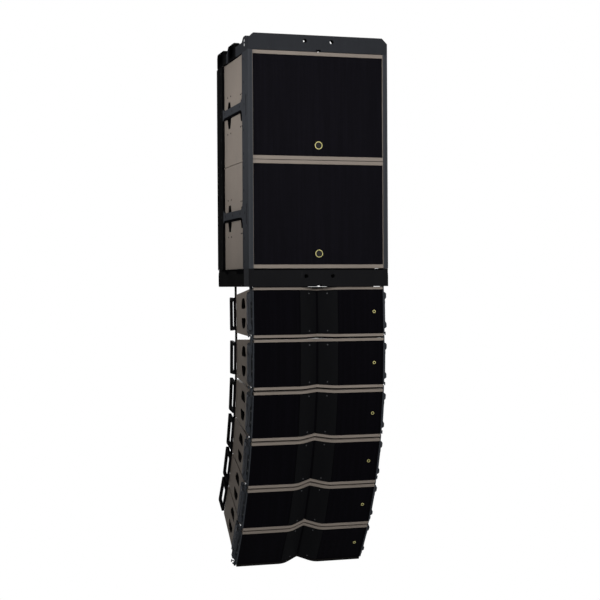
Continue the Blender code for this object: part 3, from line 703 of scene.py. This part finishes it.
# %% Side plate fittings
PLATE_FACE = 0.3463
plate_bolts = both_sides([(-0.018, -0.100), (-0.018, -0.160), (0.082, -0.045), (0.082, -0.130),
                          (0.082, -0.215)], PLATE_FACE)
on_modules(lambda: turned_set("bolts", head_profile(0.0055, 0.0030), plate_bolts, bolt_dark),
           "plate_bolts")
knob = [(0, 0.00595), (0.00675, 0.0068), (0.0120, 0.0051), (0.01425, 0.0), (0.01425, -0.0034)]
knob_places = both_sides([(0.034, -0.052), (0.034, -0.207)], PLATE_FACE + 0.003)
on_modules(lambda: turned_set("knobs", knob, knob_places, knob_black, 20), "knobs")
CHANNEL_SECTION = (0.046, 0.050, 0.007), (0.050, 0.064, 0.003), (0.064, 0.068, 0.007)
CHANNEL_Z = (-0.222, -0.040)


def plate_channel():
    """A shallow strip between two flanges, on each side plate."""
    shape = bmesh.new()
    for side in (-1, 1):
        face = side * (PLATE_FACE + 0.0002)
        for start, end, rise in CHANNEL_SECTION:
            beam(shape, (face, face + side * rise), (start, end), CHANNEL_Z)
    return finished("channel", shape, highlight_channel_coat, 0.0008)


on_modules(plate_channel, "side_channel")


collar = [(0, 0.0030), (0.0050, 0.0030), (0.0060, 0.0015), (0.0060, -0.0010)]
collar_places = both_sides([(0.004, -0.2425)], PLATE_FACE + 0.001)
on_modules(lambda: turned_set("collars", collar, collar_places, pin_zinc),
           "lock_collars")

# %% [markdown]
# At the back each module has a recessed panel with two round sockets and four screws, and a row
# of five screws holds the rear bracket. These show only from behind.

# %% Module back
REAR, PANEL_RECESS, BRACKET_RISE = 0.344, 0.0038, 0.0053
socket = [(0, 0.0010), (0.0085, 0.0010), (0.0095, 0.0052), (0.0130, 0.0060), (0.0150, 0.0040),
          (0.0150, -0.001)]
socket_places = [((x, REAR - PANEL_RECESS, -0.077), "back") for x in (-0.045, 0.045)]
on_modules(lambda: turned_set("sockets", socket, socket_places, knob_black, 24),
           "sockets")
back_screws = [((x, REAR - PANEL_RECESS, z), "back")
               for x in (-0.082, 0.082) for z in (-0.0935, -0.0605)]
back_screws += [((x, REAR + BRACKET_RISE, -PITCH / 2), "back")
                for x in (-0.28, -0.14, 0.0, 0.14, 0.28)]
on_modules(lambda: turned_set("screws", head_profile(0.0045, 0.0022), back_screws, bolt_dark),
           "back_screws")

# %% [markdown]
# A subwoofer's grille is one large perforated sheet, pressed slightly outward so that it doesn't
# rattle. A grid of points with a shallow crown gives that shape, and the bevel its folded rim.

# %% Subwoofer grilles
SUB_HEIGHT, SUB_HALF = 0.543, 0.3395
SUB_GRILLE_FACE, CROWN, SUB_BAND, SHEET = 0.0088, 0.0026, 0.0200, 0.0022


def sub_grille():
    """Two grids of points, front and back, joined round their edge."""
    shape = bmesh.new()
    high, low = -SUB_BAND, -SUB_HEIGHT + SUB_BAND
    columns, rows = 24, 16
    for depth in (0.0, SHEET):
        grid = []
        for i in range(columns + 1):
            u = -1 + 2 * i / columns
            grid.append([shape.verts.new((
                u * (SUB_HALF - 0.0006),
                SUB_GRILLE_FACE + depth - CROWN * (1 - u ** 4) * (1 - (2 * j / rows - 1) ** 4),
                low + (high - low) * j / rows)) for j in range(rows + 1)])
        for a, b in zip(grid, grid[1:]):
            for j in range(rows):
                shape.faces.new((a[j], b[j], b[j + 1], a[j + 1]))
    rim = [edge for edge in shape.edges if edge.is_boundary]
    bmesh.ops.bridge_loops(shape, edges=rim)
    return finished("sub_grille", shape, grille_black, 0.0010)


on_subs(sub_grille, "grille_sheet")
for number in SUBS:
    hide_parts(f"sub_{number}_grille")

# %% [markdown]
# The rails' bolts are countersunk, so that stacked columns pass each other in a truck: only a
# flat dark head shows in the rail. Small screws above and below the hand pockets fix their liners.

# %% Rail and pocket fittings
RAIL_FACE, CASE_FACE = 0.365, 0.355
flat_head = [(0, -0.0006), (0.0034, -0.0006), (0.0038, 0.0003), (0.0072, 0.0003),
             (0.0078, -0.0012)]
rail_points = [(y, z) for y in (0.100, 0.600) for z in (-0.035, -0.150, -0.390, -0.508)]
rail_points += [(y, -0.262) for y in (0.085, 0.185, 0.350, 0.515, 0.610)]
on_subs(lambda: turned_set("bolts", flat_head, both_sides(rail_points, RAIL_FACE), bolt_black),
        "rail_bolts")
pocket_points = [(y, z) for y in (0.168, 0.198) for z in (-0.362, -0.198)]
pocket_points += [(y, z) for y in (0.415, 0.485) for z in (-0.372, -0.178)]
on_subs(lambda: turned_set("screws", head_profile(0.0042, 0.0018),
                           both_sides(pocket_points, CASE_FACE), bolt_black),
        "pocket_screws")

# %% [markdown]
# Where the rails and the crossbar lie on the case, black strips drawn as rubber edging stand in
# for the deep shadow line along each window of the rig: painted shade laid on as dark strips.

# %% Rail shadow strips
# Black strips of painted shade: the shadow lines beside the front and rear rails and under the
# crossbar.
SHADOW_STRIP_X = (0.3552, 0.3622)
shadow_strip_runs = [((0.1300, 0.1400), (-SUB_HEIGHT + 0.004, -0.004)),
               ((0.5590, 0.5702), (-SUB_HEIGHT + 0.004, -0.004)),
               ((0.1400, 0.5590), (-0.2930, -0.2808))]


def rail_shadow_strips():
    shape = bmesh.new()
    for side in (-1, 1):
        for depth, height in shadow_strip_runs:
            beam(shape, tuple(side * x for x in SHADOW_STRIP_X), depth, height)
    return finished("edging", shape, foam_black, 0.0008)


on_subs(rail_shadow_strips, "rail_shadow_strips")

# %% [markdown]
# Two bright pins close the front lug at each end of the top frame, where the next frame up would
# be fixed. Their heads are domed and polished, and they lie flush with the side beam.

# %% Frame pins
FRAME_FACE, LUG_SETBACK = 0.3645, 0.076
PIN_HEIGHTS = (-0.029, -0.050)
pin_head = [(0, 0.0004), (0.0050, 0.0003), (0.0075, 0.0), (0.0080, -0.0010)]
lug_points = [(FACE_PLANE + LUG_SETBACK, z) for z in PIN_HEIGHTS]
pins = turned_set("top_frame_pins", pin_head, both_sides(lug_points, FRAME_FACE), pin_zinc, 20)
hang(pins, Matrix.Identity(4), "flown_frame")
print("frame pins")

# %% [markdown]
# Round rubber caps cover the middle and rear lugs of the top frame, so that they don't mark the
# cases on the way up. Three overlapping discs make the long cap of each lug.

# %% Lug caps
CAP_RADIUS, CAP_HEIGHT = 0.0395, -0.0405
CAP_SETBACKS = (0.325, 0.357, 0.390, 0.572, 0.610, 0.648)
cap = [(0, 0.0004), (CAP_RADIUS - 0.003, 0.0004), (CAP_RADIUS, 0.0001), (CAP_RADIUS, -0.0010)]
cap_points = [(FACE_PLANE + setback, CAP_HEIGHT) for setback in CAP_SETBACKS]
caps = turned_set("top_frame_lug_caps", cap, both_sides(cap_points, FRAME_FACE), foam_black, 32)
hang(caps, Matrix.Identity(4), "flown_frame")
print(len(cap_points) * 2, "discs of rubber cap")

# %% [markdown]
# The transition frame meets the lower subwoofer through rubber bars: one behind its front beam and
# one along each side beam, between the lugs. They are black and close the view between the two.

# %% Transition frame cushions
FRAME_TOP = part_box("lower_frame")[1][2] - 0.0004
FRONT_BAR_X, FRONT_BAR_Y, FRONT_BAR_HEIGHT = (-0.336, 0.300), (0.016, 0.030), 0.008
SIDE_BAR_X, SIDE_BAR_Y, SIDE_BAR_HEIGHT = (0.342, 0.3625), (0.122, 0.603), 0.030
cushion = bmesh.new()
beam(cushion, FRONT_BAR_X, tuple(FACE_PLANE + y for y in FRONT_BAR_Y),
     (FRAME_TOP - FRONT_BAR_HEIGHT, FRAME_TOP))
for side in (-1, 1):
    beam(cushion, tuple(side * x for x in SIDE_BAR_X), tuple(FACE_PLANE + y for y in SIDE_BAR_Y),
         (FRAME_TOP - SIDE_BAR_HEIGHT, FRAME_TOP))
cushions = finished("lower_frame_cushions", cushion, foam_black, 0.0010)
hang(cushions, Matrix.Identity(4), "flown_frame")
print("cushions up to", round(FRAME_TOP, 4))

# %% [markdown]
# Between two modules runs a strip of black sponge rubber. It keeps dust out of the drivers and
# light out of the gap. It hangs from the upper module in line with the front pins, where the gap
# stays the same at every splay, so that it never touches the module below.

# %% Gap strips
SEAL_SETBACK, SEAL_THICKNESS, SEAL_DROP = 0.028, 0.004, 0.0104


def under_side(y):
    """Height of a module's underside at a depth."""
    return -PITCH + MODULE_GAP / 2 / cos(HALF_ANGLE) + y * tan(HALF_ANGLE)


def gap_strip():
    """A strip of four-sided sections that follows the vee from side to side."""
    shape = bmesh.new()
    columns, end = 72, HALF_WIDTH - 0.001
    sections = []
    for i in range(columns + 1):
        x = -end + 2 * end * i / columns
        near = FRONT + vee(x) + SEAL_SETBACK
        far = near + SEAL_THICKNESS
        sections.append([shape.verts.new((x, y, under_side(y) + rise)) for y, rise in (
            (near, -0.0001), (far, -0.0001), (far, -SEAL_DROP), (near, -SEAL_DROP))])
    for a, b in zip(sections, sections[1:]):
        for j in range(4):
            k = (j + 1) % 4
            shape.faces.new((a[j], a[k], b[k], b[j]))
    shape.faces.new(sections[0])
    shape.faces.new(sections[-1][::-1])
    return finished("gap_strip", shape, foam_black, 0.0006)


source = gap_strip()
for number in MODULES[:-1]:
    copies(source, f"module_{number}_gap_strip", MODULE_PLACE[number], f"module_{number}")
bpy.data.objects.remove(source)

# %% [markdown]
# The same strip hangs below the transition frame, in two lengths. A short block behind the
# frame's arch leaves only a thin line of light in the middle.

# %% Frame strip
ARCH_HALF, FRAME_SEAL_DROP = 0.050, 0.0046
ARCH_BLOCK_Y, ARCH_BLOCK_Z = (0.0403, 0.0440), (0.0035, 0.0120)
strip = bmesh.new()
pin = hinges["splay_1"]
frame_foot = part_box("lower_frame")[0][2]
for start, end in ((-0.335, -ARCH_HALF), (ARCH_HALF, 0.300)):
    beam(strip, (start, end), (pin.y - SEAL_THICKNESS / 2, pin.y + SEAL_THICKNESS / 2),
         (pin.z + 0.0002, pin.z - FRAME_SEAL_DROP))
beam(strip, (-ARCH_HALF, ARCH_HALF), tuple(FACE_PLANE + y for y in ARCH_BLOCK_Y),
     tuple(frame_foot + z for z in ARCH_BLOCK_Z))
hang(finished("lower_frame_strip", strip, foam_black, 0.0006), Matrix.Identity(4), "flown_frame")
print("five gap strips and one frame strip")

# %% [markdown]
# The subwoofer's connector panel has two round sockets, and a screw near each corner.

# %% Subwoofer sockets
SUB_BACK, SUB_SOCKET_SCALE = 0.607, 0.9
sub_sockets = [((x, SUB_BACK - 0.001, -SUB_HEIGHT / 2), "back") for x in (-0.045, 0.045)]
sub_socket = [(radius * SUB_SOCKET_SCALE, height * SUB_SOCKET_SCALE) for radius, height in socket]
on_subs(lambda: turned_set("sockets", sub_socket, sub_sockets, knob_black, 24),
        "sockets")
panel_screws = [((x, SUB_BACK - 0.002, -SUB_HEIGHT / 2 + z), "back")
                for x in (-0.098, 0.098) for z in (-0.044, 0.044)]
on_subs(lambda: turned_set("screws", head_profile(0.0045, 0.0022), panel_screws, bolt_dark),
        "panel_screws")

# %% [markdown]
# The column hangs in front of plain white paper. A pale floor lies below it and catches a soft
# shadow. The world is white where the camera or a reflection looks at it, and softer as light.

# %% Stage
low, high = (Vector(corner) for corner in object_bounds())
FLOOR_DROP, FLOOR_HALF, PAPER_GREY, PAPER_GLOW = 3.2, 10, 0.9, 0.9


def seen_by(tree, *rays):
    """1 for rays of the kinds listed, 0 for all others."""
    total = 0.0
    for ray in rays:
        total = total + add_node(tree, "ShaderNodeLightPath", output=ray)
    return total.apply("MINIMUM", 1.0)


def stage_finish():
    """Matt white paper that glows a little where the camera sees it."""
    finish = Finish("stage_paper", (PAPER_GREY,) * 3, 0.9)
    tree = finish.tree
    glow = finish.node("ShaderNodeEmission")
    mix = finish.node("ShaderNodeMixShader", None, {
        0: seen_by(tree, "Is Camera Ray") * PAPER_GLOW,
        1: Value(tree, finish.shader.outputs[0]), 2: glow})
    feed(tree, tree.nodes["Material Output"].inputs["Surface"], mix)
    return finish.material


paper = bmesh.new()
bmesh.ops.create_grid(paper, x_segments=2, y_segments=2, size=FLOOR_HALF)
floor = finished("floor", paper, stage_finish())
floor.location = (0, 0, low.z - FLOOR_DROP)
floor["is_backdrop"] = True

AMBIENT = 0.10
world = bpy.data.worlds.new("studio")
bpy.context.scene.world = world
world.use_nodes = True
sky = world.node_tree
seen = seen_by(sky, "Is Camera Ray", "Is Transmission Ray", "Is Glossy Ray")
background = sky.nodes["Background"]
background.inputs["Color"].default_value = (1, 1, 1, 1)
feed(sky, background.inputs["Strength"], AMBIENT + seen * (1 - AMBIENT))
print("stage set")


# %% [markdown]
# One narrow lamp on the left lights the subwoofers' sides and fades towards the modules. The rest
# are wide and soft: front, right, back and above.

# %% Lights
def soft_light(name, place, aim, size, power, spread=180):
    """A rectangular lamp that the camera doesn't see."""
    data = bpy.data.lights.new(name, "AREA")
    data.shape = "RECTANGLE"
    data.size, data.size_y = size
    data.energy = power
    data.spread = radians(spread)
    lamp = bpy.data.objects.new(name, data)
    lamp.location = place
    lamp.rotation_euler = (Vector(aim) - Vector(place)).to_track_quat("-Z", "Y").to_euler()
    lamp.visible_camera = False
    bpy.context.scene.collection.objects.link(lamp)


middle = (low + high) / 2
upper = Vector((0, 0, -0.38))
soft_light("key_left", (-2.6, -0.9, 0.0), upper, (1.2, 1.2), 5.92, 50)
soft_light("fill_front", (-0.4, -6.4, 1.3), middle, (2.5, 2.5), 400)
soft_light("side_right", (4.2, -0.5, -1.0), middle, (2.0, 3.0), 45)
soft_light("fill_back", (1.0, 6.5, -0.60), middle, (2.5, 2.5), 420)
soft_light("top", (0.0, 0.0, 3.5), upper, (1.5, 1.5), 60)
print("five lights")

# %% [markdown]
# The camera stands to the left of the front, level with the transition frame, and looks almost
# straight ahead, so the top frame is seen from below and the lowest module from above.

# %% Camera
CAMERA_PLACE = Vector((-1.977, -6.7775, -1.2522))
HEADING, PITCH_DOWN, ROLL = radians(16.21), radians(0.63), radians(0.33)
forward = Vector((sin(HEADING) * cos(PITCH_DOWN), cos(HEADING) * cos(PITCH_DOWN),
                  -sin(PITCH_DOWN)))
right = Vector((cos(HEADING), -sin(HEADING), 0))
up = right.cross(forward)
side_axis = right * cos(ROLL) - up * sin(ROLL)
up_axis = right * sin(ROLL) + up * cos(ROLL)
camera_data = bpy.data.cameras.new("camera")
camera_data.lens = 80.44
camera_data.sensor_width = 36
camera = bpy.data.objects.new("camera", camera_data)
camera.matrix_world = Matrix.Translation(CAMERA_PLACE) @ Matrix((
    side_axis, up_axis, -forward)).transposed().to_4x4()
bpy.context.scene.collection.objects.link(camera)
bpy.context.scene.camera = camera
bpy.context.scene.view_settings.view_transform = "Standard"
print("camera", round(camera_data.lens, 1), "mm")
